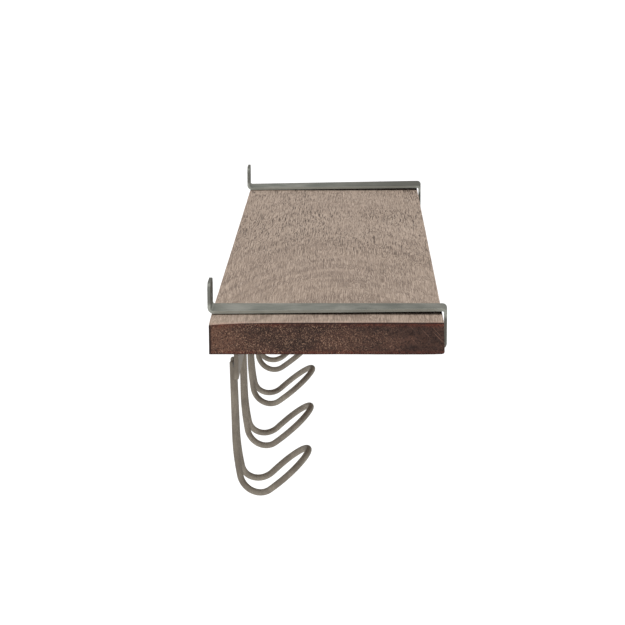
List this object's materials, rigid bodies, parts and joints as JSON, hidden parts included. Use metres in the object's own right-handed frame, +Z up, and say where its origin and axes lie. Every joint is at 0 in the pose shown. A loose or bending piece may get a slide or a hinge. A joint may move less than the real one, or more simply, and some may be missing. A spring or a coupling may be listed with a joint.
{
  "type": "wall shelf with coat hooks",
  "caption": "Wooden wall shelf: a weathered plank held by two bent flat-bar brackets, with a steel rail of bent-rod coat hooks below.",
  "frame": {"origin": "on the wall plane, midway between the two brackets, level with the plank's underside", "axes": "+X along the plank, +Y into the wall, -Y the front, +Z up"},
  "size_m": [0.6, 0.1568, 0.1522],
  "materials": {
    "weathered_wood": "dry, unfinished, bleached on top",
    "strap_steel": "dull raw steel",
    "rod_steel": "raw steel rod, satin",
    "weld_steel": "dark weld metal",
    "screw_steel": "zinc plated"
  },
  "bodies": {
    "root": {"plank": "weathered_wood", "bracket_left": "strap_steel", "bracket_right": "strap_steel", "hook_rail": "rod_steel", "rail_weld_left": "weld_steel", "screw_left_1": "screw_steel", "screw_left_2": "screw_steel", "rail_weld_right": "weld_steel", "screw_right_1": "screw_steel", "screw_right_2": "screw_steel", "hook_1": "rod_steel", "hook_weld_1_left": "weld_steel", "hook_weld_1_right": "weld_steel", "hook_2": "rod_steel", "hook_weld_2_left": "weld_steel", "hook_weld_2_right": "weld_steel", "hook_3": "rod_steel", "hook_weld_3_left": "weld_steel", "hook_weld_3_right": "weld_steel", "hook_4": "rod_steel", "hook_weld_4_left": "weld_steel", "hook_weld_4_right": "weld_steel", "hook_5": "rod_steel", "hook_weld_5_left": "weld_steel", "hook_weld_5_right": "weld_steel"}
  },
  "joints": []
}
